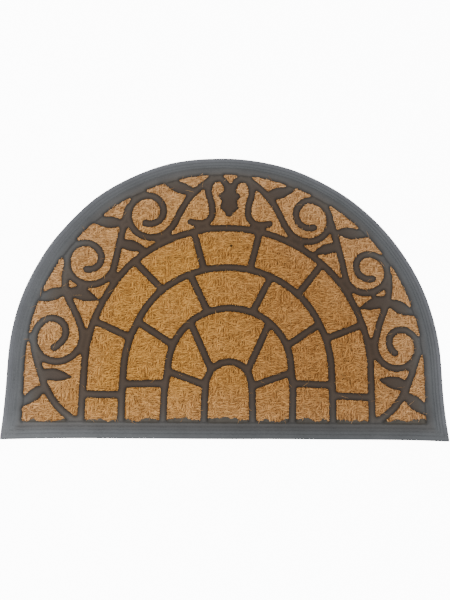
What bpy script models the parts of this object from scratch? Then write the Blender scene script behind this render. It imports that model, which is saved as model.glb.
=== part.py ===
# Half-round doormat: one rubber moulding that holds one sheet of woven coir.
# The rubber is a backing sheet, a ribbed border and a raised tracery of arches, scrolls and leaves.
# The coir lies on the backing, tucked under the border and the tracery, and shows in the openings between.
# Plan sizes are millimetres: x from the middle line, y from the straight front edge.
# The objects are metres, +Z up, with the origin at the middle of the footprint, on the surface underneath.

import math
from collections import namedtuple

import bpy
import numpy as np
from mathutils import Vector
from mathutils.geometry import delaunay_2d_cdt

MM = 0.001

# Footprint: a half circle on straight legs that flare a little at the front corners
MAT_WIDTH = 600.0
MAT_DEPTH = 400.0
CORNER_FLARE = 2.5
FLARE_LENGTH = 60.0
FLARE_STEPS = 2
RIM_STEPS = 44

# Heights above the surface underneath
BACKING = 2.0
COIR_TOP = 7.0
SHOULDER_HEIGHT = 7.8
RUBBER_TOP = 9.0

# Border: its ribs, as rows of inset from the rim and height, and the opening that it leaves for the tracery
Ring = namedtuple("Ring", "inset height")
BORDER_RINGS = [
    Ring(0.0, 3.2),
    Ring(3.0, 4.9),
    Ring(6.0, 4.4),
    Ring(8.2, 6.3),
    Ring(11.0, 5.8),
    Ring(13.2, 7.6),
    Ring(15.4, 7.2),
    Ring(17.6, RUBBER_TOP),
]
OPENING_MIDDLE = -1.4
OPENING_HALF_WIDTH = 275.3
OPENING_FRONT = 20.3
OPENING_BACK = 374.3
COIR_TUCK = 3.0

# Tracery: width of a rib where it meets the coir, and how far its shoulder slopes in
RIB_WIDTH = 10.0
SHOULDER_SLOPE = 1.6
CLUB_WIDTH = 10.6
WEB_RADIUS = 1.4
SMALLEST_CELL = 40.0
SMALLEST_CROWN = 80.0
GAP = 0.3

# Arches from the inside out, each a half circle on two legs. They were cut by hand, so each side
# stands out from the true arch a little: at its foot, at the lowest bars, where it springs, at its
# shoulder and at its haunch.
Arch = namedtuple("Arch", "radius spring right left")
Stand = namedtuple("Stand", "foot bars spring shoulder haunch")
ARCHES = [
    Arch(32.4, 71.3, right=Stand(-0.6, -1.2, -2.4, -2.2, -0.8), left=Stand(2.6, 1.5, 0.6, 0.1, 0.4)),
    Arch(85.6, 93.2, right=Stand(0.4, 2.1, 0.0, 0.8, 0.9), left=Stand(4.5, 3.4, -0.9, -0.9, -0.7)),
    Arch(144.2, 92.7, right=Stand(-1.6, -1.5, -2.1, -2.0, 0.2), left=Stand(2.2, 1.7, 0.6, -1.3, 0.9)),
    Arch(197.6, 96.8, right=Stand(-0.1, 0.2, 0.0, 0.0, 0.8), left=Stand(1.9, 1.2, -0.1, -1.2, 0.8)),
]
LOWEST_BARS = 62.0
SHOULDER_SHARE = 0.72
HAUNCH_SHARE = 0.5
LEG_FOOT = 17.0

# Bars between an arch and the next one out, as the way round each arch from its crown
RIGHT = 1
LEFT = -1
Bar = namedtuple("Bar", "side arch inner_way outer_way")
BARS = [
    Bar(RIGHT, 0, 29.0, 60.0),
    Bar(LEFT, 0, 28.5, 60.0),
    Bar(RIGHT, 0, 52.0, 137.5),
    Bar(LEFT, 0, 50.5, 137.5),
    Bar(RIGHT, 1, 32.0, 60.0),
    Bar(LEFT, 1, 31.5, 57.5),
    Bar(RIGHT, 1, 100.5, 157.0),
    Bar(LEFT, 1, 100.5, 158.5),
    Bar(RIGHT, 1, 152.5, 246.0),
    Bar(LEFT, 1, 154.5, 247.5),
    Bar(RIGHT, 2, 28.5, 42.5),
    Bar(LEFT, 2, 37.0, 52.0),
    Bar(RIGHT, 2, 105.0, 143.5),
    Bar(LEFT, 2, 102.0, 146.5),
    Bar(RIGHT, 2, 180.0, 247.5),
    Bar(LEFT, 2, 183.0, 248.0),
    Bar(RIGHT, 2, 260.5, 350.5),
    Bar(LEFT, 2, 262.0, 349.5),
]

# Scrolls, each a chain of arcs from a free tip, and not quite alike on the two sides
Arc = namedtuple("Arc", "radius turn")
Scroll = namedtuple("Scroll", "sides start heading arcs")
SCROLLS = [
    Scroll(
        sides=(RIGHT, LEFT), start=(120.3, 298.6), heading=199.5,
        arcs=[
            Arc(19.0, -95), Arc(22.0, -122), Arc(30.0, -89), Arc(33.0, -123),
            Arc(74.0, -19), Arc(118.0, 36),
        ],
    ),
    Scroll(
        sides=(RIGHT,), start=(204.3, 225.3), heading=196.5,
        arcs=[Arc(18.2, -193), Arc(26.8, -130), Arc(34.5, -66), Arc(27.5, -67), Arc(820.0, 6)],
    ),
    Scroll(
        sides=(LEFT,), start=(199.5, 229.9), heading=189.5,
        arcs=[Arc(17.0, -123), Arc(23.3, -128), Arc(32.0, -125), Arc(34.2, -74), Arc(1400.0, 3.5)],
    ),
    Scroll(
        sides=(RIGHT,), start=(232.7, 119.6), heading=145.0,
        arcs=[
            Arc(17.9, -140), Arc(22.6, -85), Arc(30.8, -137.5), Arc(30.6, -64),
            Arc(209.0, -12.5), Arc(110.0, 28),
        ],
    ),
    Scroll(
        sides=(LEFT,), start=(238.7, 120.3), heading=150.5,
        arcs=[
            Arc(34.7, -24), Arc(19.1, -168), Arc(31.1, -152), Arc(34.8, -96),
            Arc(193.0, -11), Arc(69.2, 41),
        ],
    ),
    Scroll(
        sides=(RIGHT,), start=(266.3, 128.5), heading=273.4,
        arcs=[Arc(40.0, -22), Arc(590.0, -4), Arc(104.0, -40)],
    ),
    Scroll(
        sides=(LEFT,), start=(266.3, 130.0), heading=269.4,
        arcs=[Arc(71.5, -16), Arc(460.0, -5), Arc(100.5, -43)],
    ),
    Scroll(
        sides=(RIGHT, LEFT), start=(3.4, 350.2), heading=82.5,
        arcs=[Arc(37.0, -17), Arc(12.5, -134), Arc(29.5, -44), Arc(49.0, 27), Arc(16.5, 81), Arc(41.0, 22)],
    ),
]
ARC_STEP = 3.0

# Leaves, from root to tip, with the width of the belly
Leaf = namedtuple("Leaf", "side root tip belly")
LEAVES = [
    Leaf(RIGHT, (252.0, 73.0), (208.0, 82.0), 18.5),
    Leaf(LEFT, (258.0, 86.0), (212.0, 80.0), 17.0),
    Leaf(RIGHT, (243.5, 62.0), (281.0, 32.0), 19.5),
    Leaf(LEFT, (249.0, 68.0), (281.0, 40.0), 16.5),
    Leaf(RIGHT, (225.0, 193.0), (266.0, 173.0), 18.5),
    Leaf(LEFT, (226.0, 200.0), (267.0, 185.0), 18.0),
    Leaf(RIGHT, (228.0, 197.0), (183.0, 181.5), 17.5),
    Leaf(LEFT, (224.0, 201.0), (181.0, 186.5), 18.0),
    Leaf(RIGHT, (153.0, 294.0), (202.0, 288.0), 17.5),
    Leaf(LEFT, (151.0, 298.0), (196.0, 299.0), 17.5),
    Leaf(RIGHT, (158.0, 273.0), (118.0, 260.5), 16.0),
    Leaf(LEFT, (156.0, 269.0), (117.0, 260.5), 16.5),
    Leaf(RIGHT, (50.0, 343.0), (96.0, 356.0), 18.0),
    Leaf(LEFT, (50.0, 347.0), (97.0, 359.0), 17.5),
]
LEAF_STEPS = 8

# Middle leaf, a little left of the middle line: its lobes as rows of plan y and half width
MIDDLE_LEAF_X = -1.3
Lobe = namedtuple("Lobe", "y half_width")
MIDDLE_LEAF = [
    Lobe(360.0, 5.0),
    Lobe(352.5, 5.6),
    Lobe(348.5, 9.5),
    Lobe(346.5, 14.0),
    Lobe(342.5, 16.4),
    Lobe(339.5, 15.0),
    Lobe(335.0, 10.6),
    Lobe(330.0, 12.0),
    Lobe(324.5, 14.0),
    Lobe(320.5, 9.5),
    Lobe(317.5, 5.8),
    Lobe(311.8, 4.4),
]

# Colours, as linear red, green and blue, and how dull each surface is
RUBBER_COLOUR = (0.09, 0.09, 0.095)
RUBBER_ROUGHNESS = 0.7
COIR_COLOUR = (0.40, 0.20, 0.065)
COIR_ROUGHNESS = 0.95

# Working grid for the tracery, and how closely the outlines follow it
GRID_STEP = 1.0
FAR = 40.0
OUTLINE_TOLERANCE = 0.3


def mat_outline():
    """The rim of the mat, counter-clockwise, from the right front corner round to the left one."""
    radius = MAT_WIDTH / 2
    spring = MAT_DEPTH - radius
    right_leg = []
    for step in range(FLARE_STEPS + 1):
        y = FLARE_LENGTH * step / FLARE_STEPS
        right_leg.append((radius + CORNER_FLARE * (1 - y / FLARE_LENGTH) ** 2, y))
    arc = []
    for step in range(RIM_STEPS + 1):
        angle = math.pi * step / RIM_STEPS
        arc.append((radius * math.cos(angle), spring + radius * math.sin(angle)))
    left_leg = [(-x, y) for x, y in reversed(right_leg)]
    return np.array(right_leg + arc + left_leg)


def opening_outline():
    """The inner edge of the border, counter-clockwise from its right front corner."""
    spring = OPENING_BACK - OPENING_HALF_WIDTH
    points = [(OPENING_HALF_WIDTH, OPENING_FRONT)]
    for step in range(RIM_STEPS + 1):
        angle = math.pi * step / RIM_STEPS
        across = OPENING_HALF_WIDTH * math.cos(angle)
        points.append((across, spring + OPENING_HALF_WIDTH * math.sin(angle)))
    points.append((-OPENING_HALF_WIDTH, OPENING_FRONT))
    return np.array(points) + (OPENING_MIDDLE, 0.0)


def inset_loop(loop, distance):
    """A counter-clockwise loop moved inwards, each corner along its mitre."""
    ahead = np.roll(loop, -1, axis=0) - loop
    ahead /= np.linalg.norm(ahead, axis=1)[:, None]
    behind = np.roll(ahead, 1, axis=0)
    normal_ahead = np.column_stack((-ahead[:, 1], ahead[:, 0]))
    normal_behind = np.column_stack((-behind[:, 1], behind[:, 0]))
    mitre = normal_ahead + normal_behind
    mitre /= (1 + (normal_ahead * normal_behind).sum(axis=1))[:, None]
    return loop + distance * mitre


def arch_point(arch, side, way):
    """The point at a way round one side of an arch from its crown, as if on the right."""
    quarter = arch.radius * math.pi / 2
    stand = arch.right if side == RIGHT else arch.left
    stations = [0.0, quarter * HAUNCH_SHARE, quarter * SHOULDER_SHARE, quarter]
    stations += [quarter + arch.spring - LOWEST_BARS, quarter + arch.spring - LEG_FOOT]
    stands = [0.0, stand.haunch, stand.shoulder, stand.spring, stand.bars, stand.foot]
    reach = arch.radius + float(np.interp(way, stations, stands))
    if way < quarter:
        angle = way / arch.radius
        return reach * math.sin(angle), arch.spring + reach * math.cos(angle)
    return reach, arch.spring - (way - quarter)


def arch_line(arch):
    """The centre line of one arch, from its right foot over the crown to its left foot."""
    half = arch.radius * math.pi / 2 + arch.spring - LEG_FOOT
    steps = math.ceil(half / ARC_STEP)
    ways = [half * step / steps for step in range(steps + 1)]
    right = [arch_point(arch, RIGHT, way) for way in reversed(ways)]
    left = [arch_point(arch, LEFT, way) for way in ways[1:]]
    return right + on_side(left, LEFT)


def scroll_line(scroll):
    """The centre line of one scroll: arcs that follow on without a kink. A minus turn is clockwise."""
    x, y = scroll.start
    heading = math.radians(scroll.heading)
    line = [(x, y)]
    for arc in scroll.arcs:
        turn = math.radians(arc.turn)
        side = math.copysign(arc.radius, turn)
        centre_x = x - side * math.sin(heading)
        centre_y = y + side * math.cos(heading)
        steps = math.ceil(abs(turn) * arc.radius / ARC_STEP)
        for step in range(1, steps + 1):
            angle = heading + turn * step / steps
            x = centre_x + side * math.sin(angle)
            y = centre_y - side * math.cos(angle)
            line.append((x, y))
        heading += turn
    return line


def leaf_outline(leaf):
    """A pointed leaf, fullest nearer its root."""
    root = np.array(leaf.root)
    along = np.array(leaf.tip) - root
    across = np.array((-along[1], along[0])) / np.linalg.norm(along)
    shares = [step / LEAF_STEPS for step in range(LEAF_STEPS + 1)]
    halves = [leaf.belly / 2 * max(math.sin(math.pi * share**0.8), 0.0) ** 0.85 for share in shares]
    right_side = [root + along * share - across * half for share, half in zip(shares, halves)]
    left_side = [root + along * share + across * half for share, half in zip(shares, halves)]
    return right_side + left_side[-2:0:-1]


def on_side(points, side):
    """The same points, mirrored to the left half where the side asks for it."""
    return [(side * x, y) for x, y in points]


def grid_axes():
    """The x and y lines of the working grid, which ends inside the border."""
    half = OPENING_HALF_WIDTH + COIR_TUCK
    xs = np.arange(OPENING_MIDDLE - half, OPENING_MIDDLE + half + GRID_STEP, GRID_STEP)
    return xs, np.arange(OPENING_FRONT - COIR_TUCK, OPENING_BACK + COIR_TUCK, GRID_STEP)


def distance_to_segment(x, y, start, end):
    """The distance from each grid point to one straight segment."""
    along_x, along_y = end[0] - start[0], end[1] - start[1]
    length_squared = max(along_x**2 + along_y**2, 1e-9)
    share = np.clip(((x - start[0]) * along_x + (y - start[1]) * along_y) / length_squared, 0, 1)
    return np.hypot(x - start[0] - share * along_x, y - start[1] - share * along_y)


def stamp_line(field, axes, line, half_width, reach):
    """Lowers the field to the distance from a line less its half width, within reach of the line."""
    xs, ys = axes
    for start, end in zip(line[:-1], line[1:]):
        left, right = np.searchsorted(xs, (min(start[0], end[0]) - reach, max(start[0], end[0]) + reach))
        low, high = np.searchsorted(ys, (min(start[1], end[1]) - reach, max(start[1], end[1]) + reach))
        window = field[low:high, left:right]
        distance = distance_to_segment(xs[None, left:right], ys[low:high, None], start, end)
        np.minimum(window, distance - half_width, out=window)


def signed_distance(axes, loop):
    """The distance from each grid point to a loop, less than zero inside it."""
    x, y = axes[0][None, :], axes[1][:, None]
    nearest = np.full((y.size, x.size), np.inf)
    inside = np.zeros(nearest.shape, bool)
    for start, end in zip(loop, list(loop[1:]) + [loop[0]]):
        nearest = np.minimum(nearest, distance_to_segment(x, y, start, end))
        if start[1] != end[1]:
            crossing = start[0] + (y - start[1]) * (end[0] - start[0]) / (end[1] - start[1])
            inside ^= ((y < start[1]) != (y < end[1])) & (x < crossing)
    return np.where(inside, -nearest, nearest)


def tracery_field(axes):
    """Distance from the drawn ribs, leaves and border, less than zero inside them."""
    field = -signed_distance(axes, opening_outline())
    ribs = [arch_line(arch) for arch in ARCHES]
    clubs = []
    for bar in BARS:
        inner_end = arch_point(ARCHES[bar.arch], bar.side, bar.inner_way)
        outer_end = arch_point(ARCHES[bar.arch + 1], bar.side, bar.outer_way)
        ends = [inner_end, outer_end]
        ribs.append(on_side(ends, bar.side))
    for scroll in SCROLLS:
        line = scroll_line(scroll)
        for side in scroll.sides:
            ribs.append(on_side(line, side))
            clubs.append(on_side(line[:2], side))
    for line in ribs:
        stamp_line(field, axes, line, RIB_WIDTH / 2, FAR)
    for line in clubs:
        stamp_line(field, axes, line, CLUB_WIDTH / 2, FAR)
    lobes = [(MIDDLE_LEAF_X + lobe.half_width, lobe.y) for lobe in MIDDLE_LEAF]
    lobes += [(MIDDLE_LEAF_X - lobe.half_width, lobe.y) for lobe in reversed(MIDDLE_LEAF)]
    for outline in [lobes] + [on_side(leaf_outline(leaf), leaf.side) for leaf in LEAVES]:
        field = np.minimum(field, signed_distance(axes, outline))
    return field


def contour_loops(field, axes, level):
    """Closed loops along which the field has the level, counter-clockwise round where it is higher."""
    inside = field > level
    mixed = inside[:-1, :-1].astype(int) + inside[:-1, 1:] + inside[1:, :-1] + inside[1:, 1:]
    following = {}
    for row, column in np.argwhere((mixed > 0) & (mixed < 4)).tolist():
        corners = [(row, column), (row, column + 1), (row + 1, column + 1), (row + 1, column)]
        sides = list(zip(corners, corners[1:] + corners[:1]))
        crossed = [side for side in sides if inside[side[0]] != inside[side[1]]]
        for place, (first, second) in enumerate(crossed):
            if inside[first]:
                other = crossed[(place + 1) % len(crossed)]
                following[frozenset((first, second))] = frozenset(other)
    loops = []
    while following:
        start = next(iter(following))
        edge, points = start, []
        while edge in following:
            low, high = sorted(edge)
            share = (level - field[low]) / (field[high] - field[low])
            x = axes[0][low[1]] + share * (axes[0][high[1]] - axes[0][low[1]])
            y = axes[1][low[0]] + share * (axes[1][high[0]] - axes[1][low[0]])
            points.append((x, y))
            edge = following.pop(edge)
        loops.append(np.array(points))
    return loops


def rounded_field(field, axes):
    """The same tracery with every inner corner rounded and every gap too narrow for the mould filled."""
    distance = np.full(field.shape, FAR)
    for loop in contour_loops(field, axes, WEB_RADIUS):
        stamp_line(distance, axes, np.vstack((loop, loop[:1])), 0.0, FAR / 4)
    return WEB_RADIUS + np.where(field > WEB_RADIUS, distance, -distance)


def loop_area(loop):
    """The area inside a counter-clockwise loop."""
    after = np.roll(loop, -1, axis=0)
    return (loop[:, 0] * after[:, 1] - after[:, 0] * loop[:, 1]).sum() / 2


def simplified(loop, tolerance):
    """Only the points of a closed loop that it needs to stay within the tolerance."""
    first = int(np.argmax(loop[:, 1]))
    loop = np.roll(loop, -first, axis=0)
    far = int(np.argmax(np.linalg.norm(loop - loop[0], axis=1)))
    closed = np.vstack((loop, loop[:1]))
    kept = {0, far}
    spans = [(0, far), (far, len(loop))]
    while spans:
        low, high = spans.pop()
        if high - low < 2:
            continue
        between = closed[low + 1 : high]
        distance = distance_to_segment(between[:, 0], between[:, 1], closed[low], closed[high])
        worst = int(np.argmax(distance))
        if distance[worst] > tolerance:
            middle = low + 1 + worst
            kept.add(middle)
            spans += [(low, middle), (middle, high)]
    return loop[sorted(kept)]


class Solid:
    """One closed body, gathered as loops of points at given heights and the faces between them."""

    def __init__(self):
        self.points = []
        self.faces = []

    def add_loop(self, loop, height):
        """Adds a loop's points at a height, and gives their numbers."""
        first = len(self.points)
        self.points += [(x, y, height) for x, y in loop]
        return list(range(first, len(self.points)))

    def add_wall(self, lower, upper, into_hole=False):
        """Joins two loops of equal length, facing outwards, or into the hole that they line."""
        count = len(lower)
        for place in range(count):
            after = (place + 1) % count
            face = (lower[place], lower[after], upper[after], upper[place])
            self.faces.append(face[::-1] if into_hole else face)

    def add_sheet(self, outer, holes=(), inner=(), facing_down=False):
        """Fills the outer loop apart from the inner ones, with slopes from each hole to the loop in it."""
        loops = [outer, *holes, *inner]
        numbers = [number for loop in loops for number in loop]
        flat = [Vector(self.points[number][:2]) for number in numbers]
        faces = []
        first = 0
        for loop in loops:
            faces.append(list(range(first, first + len(loop))))
            first += len(loop)
        open_loops = set(range(1 + len(holes), len(loops)))
        result = delaunay_2d_cdt(flat, [], faces, 1, 1e-4)
        corners, sources, holders = result[2], result[3], result[5]
        for triangle, held_by in zip(corners, holders):
            if open_loops.isdisjoint(held_by):
                face = [numbers[sources[corner][0]] for corner in triangle]
                a, b, c = (self.points[number] for number in face)
                turn = (b[0] - a[0]) * (c[1] - a[1]) - (b[1] - a[1]) * (c[0] - a[0])
                self.faces.append(face[::-1] if (turn < 0) != facing_down else face)

    def add_flat(self, loop, facing_down=False):
        """Closes one loop with a single flat face."""
        self.faces.append(loop[::-1] if facing_down else loop)

    def make_object(self, name, material):
        """Makes the Blender object, in metres, about the middle of the footprint."""
        mesh = bpy.data.meshes.new(name)
        middle_y = MAT_DEPTH / 2
        mesh.from_pydata([(x * MM, (y - middle_y) * MM, z * MM) for x, y, z in self.points], [], self.faces)
        mesh.materials.append(material)
        mesh.validate()
        mesh.update()
        thing = bpy.data.objects.new(name, mesh)
        bpy.context.scene.collection.objects.link(thing)
        return thing


def make_material(name, colour, roughness):
    """A plain, non-metallic material."""
    material = bpy.data.materials.new(name)
    material.use_nodes = True
    shader = material.node_tree.nodes["Principled BSDF"]
    shader.inputs["Base Color"].default_value = (*colour, 1.0)
    shader.inputs["Roughness"].default_value = roughness
    shader.inputs["Metallic"].default_value = 0.0
    return material


def make_rubber(rim, pocket, cells, crowns):
    """The moulding: flat underneath, with an undercut pocket for the coir that opens through each cell."""
    solid = Solid()
    rings = [solid.add_loop(inset_loop(rim, ring.inset), ring.height) for ring in BORDER_RINGS]
    underside = solid.add_loop(rim, 0.0)
    solid.add_flat(underside, facing_down=True)
    solid.add_wall(underside, rings[0])
    for outer, inner in zip(rings, rings[1:]):
        solid.add_wall(outer, inner)
    crown_loops = [solid.add_loop(loop, RUBBER_TOP) for loop in crowns]
    shoulder_loops = [solid.add_loop(loop, SHOULDER_HEIGHT) for loop in cells]
    solid.add_sheet(rings[-1], holes=crown_loops, inner=shoulder_loops)
    roof_loops = [solid.add_loop(loop, COIR_TOP + GAP) for loop in cells]
    for lower, upper in zip(roof_loops, shoulder_loops):
        solid.add_wall(lower, upper, into_hole=True)
    pocket_roof = solid.add_loop(pocket, COIR_TOP + GAP)
    pocket_floor = solid.add_loop(pocket, BACKING)
    solid.add_sheet(pocket_roof, inner=roof_loops, facing_down=True)
    solid.add_wall(pocket_floor, pocket_roof, into_hole=True)
    solid.add_flat(pocket_floor)
    material = make_material("Moulded rubber", RUBBER_COLOUR, RUBBER_ROUGHNESS)
    return solid.make_object("rubber_moulding", material)


def make_coir(pocket):
    """The coir: one flat sheet that fills the pocket."""
    solid = Solid()
    edge = inset_loop(pocket, GAP)
    underside = solid.add_loop(edge, BACKING + GAP)
    top = solid.add_loop(edge, COIR_TOP)
    solid.add_flat(underside, facing_down=True)
    solid.add_wall(underside, top)
    solid.add_flat(top)
    return solid.make_object("coir_sheet", make_material("Woven coir", COIR_COLOUR, COIR_ROUGHNESS))


def main():
    for thing in list(bpy.data.objects):
        bpy.data.objects.remove(thing)
    axes = grid_axes()
    field = rounded_field(tracery_field(axes), axes)
    cells = [loop for loop in contour_loops(field, axes, 0.0) if loop_area(loop) > SMALLEST_CELL]
    crowns = contour_loops(field, axes, -SHOULDER_SLOPE)
    crowns = [loop for loop in crowns if loop_area(loop) > SMALLEST_CROWN]
    cells = [simplified(loop, OUTLINE_TOLERANCE) for loop in cells]
    crowns = [simplified(loop, OUTLINE_TOLERANCE) for loop in crowns]
    pocket = inset_loop(opening_outline(), -COIR_TUCK)
    make_rubber(mat_outline(), pocket, cells, crowns)
    make_coir(pocket)
    print("cells", len(cells), "crowns", len(crowns), "points", sum(map(len, cells)), sum(map(len, crowns)))


main()
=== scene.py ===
# Half-round doormat of moulded rubber and woven coir: its looks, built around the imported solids.
# Lengths are millimetres here, and each mesh is made in metres.

import math

import bmesh
import bpy
import numpy as np
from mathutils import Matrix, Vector, kdtree, noise
from mathutils.geometry import delaunay_2d_cdt


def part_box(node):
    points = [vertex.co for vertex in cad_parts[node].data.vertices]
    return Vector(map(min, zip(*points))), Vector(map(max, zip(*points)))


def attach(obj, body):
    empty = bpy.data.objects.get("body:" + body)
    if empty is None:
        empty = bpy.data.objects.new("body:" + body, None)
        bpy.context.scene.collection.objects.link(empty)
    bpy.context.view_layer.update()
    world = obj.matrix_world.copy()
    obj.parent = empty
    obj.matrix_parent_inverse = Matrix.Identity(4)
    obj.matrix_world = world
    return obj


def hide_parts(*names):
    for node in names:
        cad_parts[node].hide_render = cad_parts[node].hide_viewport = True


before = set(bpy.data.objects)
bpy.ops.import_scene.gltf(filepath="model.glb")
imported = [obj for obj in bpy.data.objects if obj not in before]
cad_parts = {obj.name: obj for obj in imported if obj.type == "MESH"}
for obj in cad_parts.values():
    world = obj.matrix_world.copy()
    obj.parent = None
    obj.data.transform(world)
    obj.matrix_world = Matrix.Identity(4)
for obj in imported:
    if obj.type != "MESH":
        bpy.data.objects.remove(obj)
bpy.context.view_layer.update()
mm = 0.001


def inMetres(points):
    return [(x * mm, y * mm, z * mm) for x, y, z in points]


def linearColour(hexText):  # sRGB hex to the linear values that a shader takes
    parts = [int(hexText[place:place + 2], 16) / 255 for place in (1, 3, 5)]
    linear = [part / 12.92 if part <= 0.04045 else ((part + 0.055) / 1.055) ** 2.4 for part in parts]
    return (*linear, 1.0)


def addNode(tree, kind, settings=None, values=None, links=None):
    node = tree.nodes.new(kind)
    for name, value in (settings or {}).items():
        setattr(node, name, value)
    for socket, value in (values or {}).items():
        node.inputs[socket].default_value = value
    for socket, source in (links or {}).items():
        tree.links.new(source, node.inputs[socket])
    return node


def newMaterial(name, roughness, specular):
    material = bpy.data.materials.new(name)
    material.use_nodes = True
    shader = material.node_tree.nodes["Principled BSDF"]
    shader.inputs["Roughness"].default_value = roughness
    shader.inputs["Specular IOR Level"].default_value = specular
    return material, material.node_tree, shader


def newPiece(name, points, faces, material, sharpAngle=None):
    mesh = bpy.data.meshes.new(name)
    mesh.from_pydata(inMetres(points), [], faces)
    mesh.materials.append(material)
    mesh.update()
    mesh.shade_smooth()
    if sharpAngle:
        mesh.set_sharp_from_angle(angle=math.radians(sharpAngle))
    piece = bpy.data.objects.new(name, mesh)
    bpy.context.scene.collection.objects.link(piece)
    return piece


def addAttribute(mesh, name, values):
    attribute = mesh.attributes.new(name, "FLOAT", "POINT")
    attribute.data.foreach_set("value", np.asarray(values, np.float32))


def triangleCount(piece):
    return sum(len(face.vertices) - 2 for face in piece.data.polygons)


# Loops of points in plan
def loopArea(loop):
    after = np.roll(loop, -1, axis=0)
    return (loop[:, 0] * after[:, 1] - after[:, 0] * loop[:, 1]).sum() / 2


def levelLoops(solid, height):  # counter-clockwise loops at a height along which an upright wall runs
    neighbours = {}
    for edge in solid.edges:
        if all(abs(point.co.z / mm - height) < 0.01 for point in edge.verts):
            if any(abs(face.normal.z) < 0.1 for face in edge.link_faces):
                first, second = edge.verts
                neighbours.setdefault(first, []).append(second)
                neighbours.setdefault(second, []).append(first)
    loops, seen = [], set()
    for start in sorted(neighbours, key=lambda point: point.index):
        if start in seen:
            continue
        walk, here = [], start
        while here is not None:
            seen.add(here)
            walk.append((here.co.x / mm, here.co.y / mm))
            here = next((point for point in neighbours[here] if point not in seen), None)
        loop = np.array(walk)
        loops.append(loop if loopArea(loop) > 0 else loop[::-1])
    return loops


def finerLoop(loop, step):  # more points along the long edges, and none lost
    points = []
    for start, end in zip(loop, np.roll(loop, -1, axis=0)):
        pieces = max(1, round(np.linalg.norm(end - start) / step))
        points += [start + (end - start) * share / pieces for share in range(pieces)]
    return np.array(points)


def evenLoop(loop, step):  # points at an even spacing round the whole loop
    closed = np.vstack((loop, loop[:1]))
    way = np.concatenate(([0], np.cumsum(np.linalg.norm(np.diff(closed, axis=0), axis=1))))
    places = np.linspace(0, way[-1], max(8, round(way[-1] / step)), endpoint=False)
    return np.column_stack((np.interp(places, way, closed[:, 0]), np.interp(places, way, closed[:, 1])))


def softLoop(loop, passes, cornerAngle=180.0):  # evens out the loop but for corners that turn by more
    for _ in range(passes):
        ahead, behind = np.roll(loop, -1, axis=0) - loop, loop - np.roll(loop, 1, axis=0)
        turn = np.arctan2(ahead[:, 1], ahead[:, 0]) - np.arctan2(behind[:, 1], behind[:, 0])
        corner = np.abs((turn + math.pi) % (2 * math.pi) - math.pi) > math.radians(cornerAngle)
        loop = np.where(corner[:, None], loop, loop + (ahead - behind) / 4)
    return loop


def outwardNormals(loop):  # unit normals of a counter-clockwise loop
    along = np.roll(loop, -1, axis=0) - np.roll(loop, 1, axis=0)
    along /= np.linalg.norm(along, axis=1)[:, None]
    return np.column_stack((along[:, 1], -along[:, 0]))


def insetLoop(loop, distance):  # each corner moves inwards along its mitre
    ahead = np.roll(loop, -1, axis=0) - loop
    ahead /= np.linalg.norm(ahead, axis=1)[:, None]
    normalAhead = np.column_stack((-ahead[:, 1], ahead[:, 0]))
    normalBehind = np.roll(normalAhead, 1, axis=0)
    mitre = normalAhead + normalBehind
    mitre /= (1 + (normalAhead * normalBehind).sum(axis=1))[:, None]
    return loop + distance * mitre


def softNoise(points, length, seed):  # smooth noise in about -1 to 1, one value for each point
    return np.array([noise.noise((x / length, y / length, seed)) for x, y in points])


def strayed(loop, reach, length, seed):  # the loop with its edge strayed to and fro
    return loop + outwardNormals(loop) * (reach * softNoise(loop, length, seed))[:, None]


def nearestWays(points, targets):  # from each point to the nearest target
    tree = kdtree.KDTree(len(targets))
    for place, (x, y) in enumerate(targets):
        tree.insert((x, y, 0.0), place)
    tree.balance()
    return np.array([tree.find((x, y, 0.0))[2] for x, y in points])


def openness(points, loops):  # 1 where a point lies in one of the loops, and 0 elsewhere
    inside = np.zeros(len(points), bool)
    for loop in loops:
        low, high = loop.min(axis=0), loop.max(axis=0)
        near = np.flatnonzero(((points > low) & (points < high)).all(axis=1))
        hit = np.zeros(len(near), bool)
        x, y = points[near, 0], points[near, 1]
        for start, end in zip(loop, np.roll(loop, -1, axis=0)):
            if start[1] != end[1]:
                crossing = start[0] + (y - start[1]) * (end[0] - start[0]) / (end[1] - start[1])
                hit ^= ((y < start[1]) != (y < end[1])) & (x < crossing)
        inside[near] |= hit
    return inside.astype(float)


def filledPlan(loops, points, holes):  # triangles over the first loop, without those in the numbered holes
    flat = [point for loop in loops for point in loop] + list(points)
    rings, first = [], 0
    for loop in loops:
        rings.append(list(range(first, first + len(loop))))
        first += len(loop)
    onlyInside, tolerance = 1, 1e-5
    plan = delaunay_2d_cdt([Vector(point) for point in flat], [], rings, onlyInside, tolerance)
    places, _, corners, sources, _, holders = plan
    triangles = []
    for corner, held in zip(corners, holders):
        if holes.isdisjoint(held):
            a, b, c = (places[number] for number in corner)
            turn = (b[0] - a[0]) * (c[1] - a[1]) - (b[1] - a[1]) * (c[0] - a[0])
            face = [sources[number][0] for number in corner]
            triangles.append(face if turn > 0 else face[::-1])
    return np.array(flat), triangles


def wallBetween(lower, upper, inwards):  # quads between two loops of point numbers
    faces = []
    for place in range(len(lower)):
        after = (place + 1) % len(lower)
        face = (lower[place], lower[after], upper[after], upper[place])
        faces.append(face[::-1] if inwards else face)
    return faces


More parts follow.
